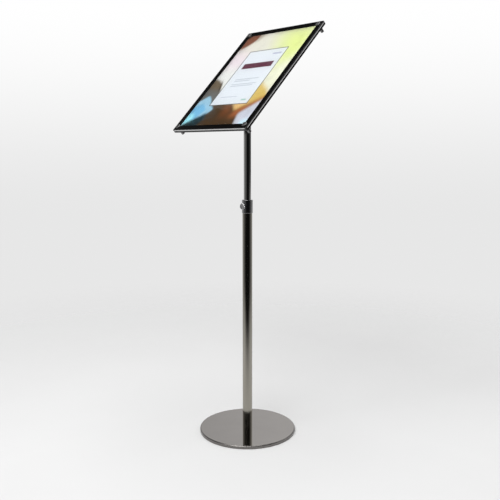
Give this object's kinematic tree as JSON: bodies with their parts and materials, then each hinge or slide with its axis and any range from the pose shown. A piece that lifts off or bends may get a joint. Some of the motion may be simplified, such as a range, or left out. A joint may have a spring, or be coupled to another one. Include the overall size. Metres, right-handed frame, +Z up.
{
  "type": "sign stand",
  "caption": "Free-standing sign stand: round polished foot, telescopic post with a clamping collar, and a tilting clear-fronted panel for a printed sheet.",
  "frame": {"origin": "on the floor at the centre of the foot's underside, on the post's axis", "axes": "+Z up; the reader stands on the -Y side; the panel's width runs along X; the tilt knob is on +X"},
  "size_m": [0.318, 0.3268, 1.2516],
  "materials": {
    "polished_steel": "polished",
    "steel_plate": "plain",
    "zinc_steel": "plated",
    "rubber_black": "matte",
    "nylon_white": "matte",
    "nylon_black": "fine grain",
    "coated_steel": "satin powder coat",
    "brass_insert": "plain",
    "black_acrylic": "gloss",
    "clear_acrylic": "clear gloss",
    "black_print": "gloss print",
    "printed_sheet": "printed"
  },
  "bodies": {
    "stand": {"base_pad": "rubber_black", "base_weight": "steel_plate", "base_cover": "polished_steel", "post_bolt": "zinc_steel", "foot_plug": "zinc_steel", "lower_tube": "polished_steel", "guide_bush": "nylon_white", "lock_collar": "polished_steel"},
    "clamp": {"clamp_pad": "nylon_white"},
    "thumb_screw": {"thumb_stud": "zinc_steel", "thumb_knob": "polished_steel"},
    "slider": {"glide_bush": "nylon_white"},
    "mast": {"upper_tube": "polished_steel", "stop_rings": "zinc_steel", "top_plug": "polished_steel", "plug_pin": "zinc_steel"},
    "head": {"friction_washers": "nylon_black", "head_yoke": "coated_steel", "pivot_bolt": "zinc_steel", "rear_panel": "black_acrylic", "front_cover": "clear_acrylic", "border_film": "black_print", "poster": "printed_sheet", "spacer_washers": "nylon_white", "corner_studs": "zinc_steel", "corner_caps": "polished_steel", "corner_nuts": "polished_steel", "bracket_screws": "zinc_steel", "bracket_nuts": "zinc_steel"},
    "tilt_washer": {"knob_washer": "zinc_steel"},
    "tilt_lock": {"knob_insert": "brass_insert", "tilt_knob": "nylon_black"}
  },
  "joints": [
    {"name": "height_slide", "type": "slide", "parent": "stand", "child": "slider", "axis": [0, 0, 1], "range_m": [-0.28, 0.2]},
    {"name": "post_swivel", "type": "hinge", "parent": "slider", "child": "mast", "pos_m": [0, 0, 0.416], "axis": [0, 0, 1], "continuous": true},
    {"name": "head_tilt", "type": "hinge", "parent": "mast", "child": "head", "pos_m": [0, 0, 1.03815], "axis": [1, 0, 0], "range_deg": [-45, 45]},
    {"name": "clamp_pad_travel", "type": "slide", "parent": "stand", "child": "clamp", "axis": [0, -1, 0], "range_m": [0, 0.0025]},
    {"name": "thumb_screw_turn", "type": "hinge", "parent": "clamp", "child": "thumb_screw", "pos_m": [0, -0.022, 0.711], "axis": [0, -1, 0], "range_deg": [0, 720]},
    {"name": "tilt_washer_travel", "type": "slide", "parent": "head", "child": "tilt_washer", "axis": [1, 0, 0], "range_m": [0, 0.0025]},
    {"name": "tilt_knob_turn", "type": "hinge", "parent": "tilt_washer", "child": "tilt_lock", "pos_m": [0.015, 0, 1.03815], "axis": [1, 0, 0], "range_deg": [0, 720]}
  ],
  "couplings": [
    {"joint": "thumb_screw_turn", "follows": "clamp_pad_travel", "rad_per_m": 5026.5},
    {"joint": "tilt_knob_turn", "follows": "tilt_washer_travel", "rad_per_m": 5026.5}
  ]
}
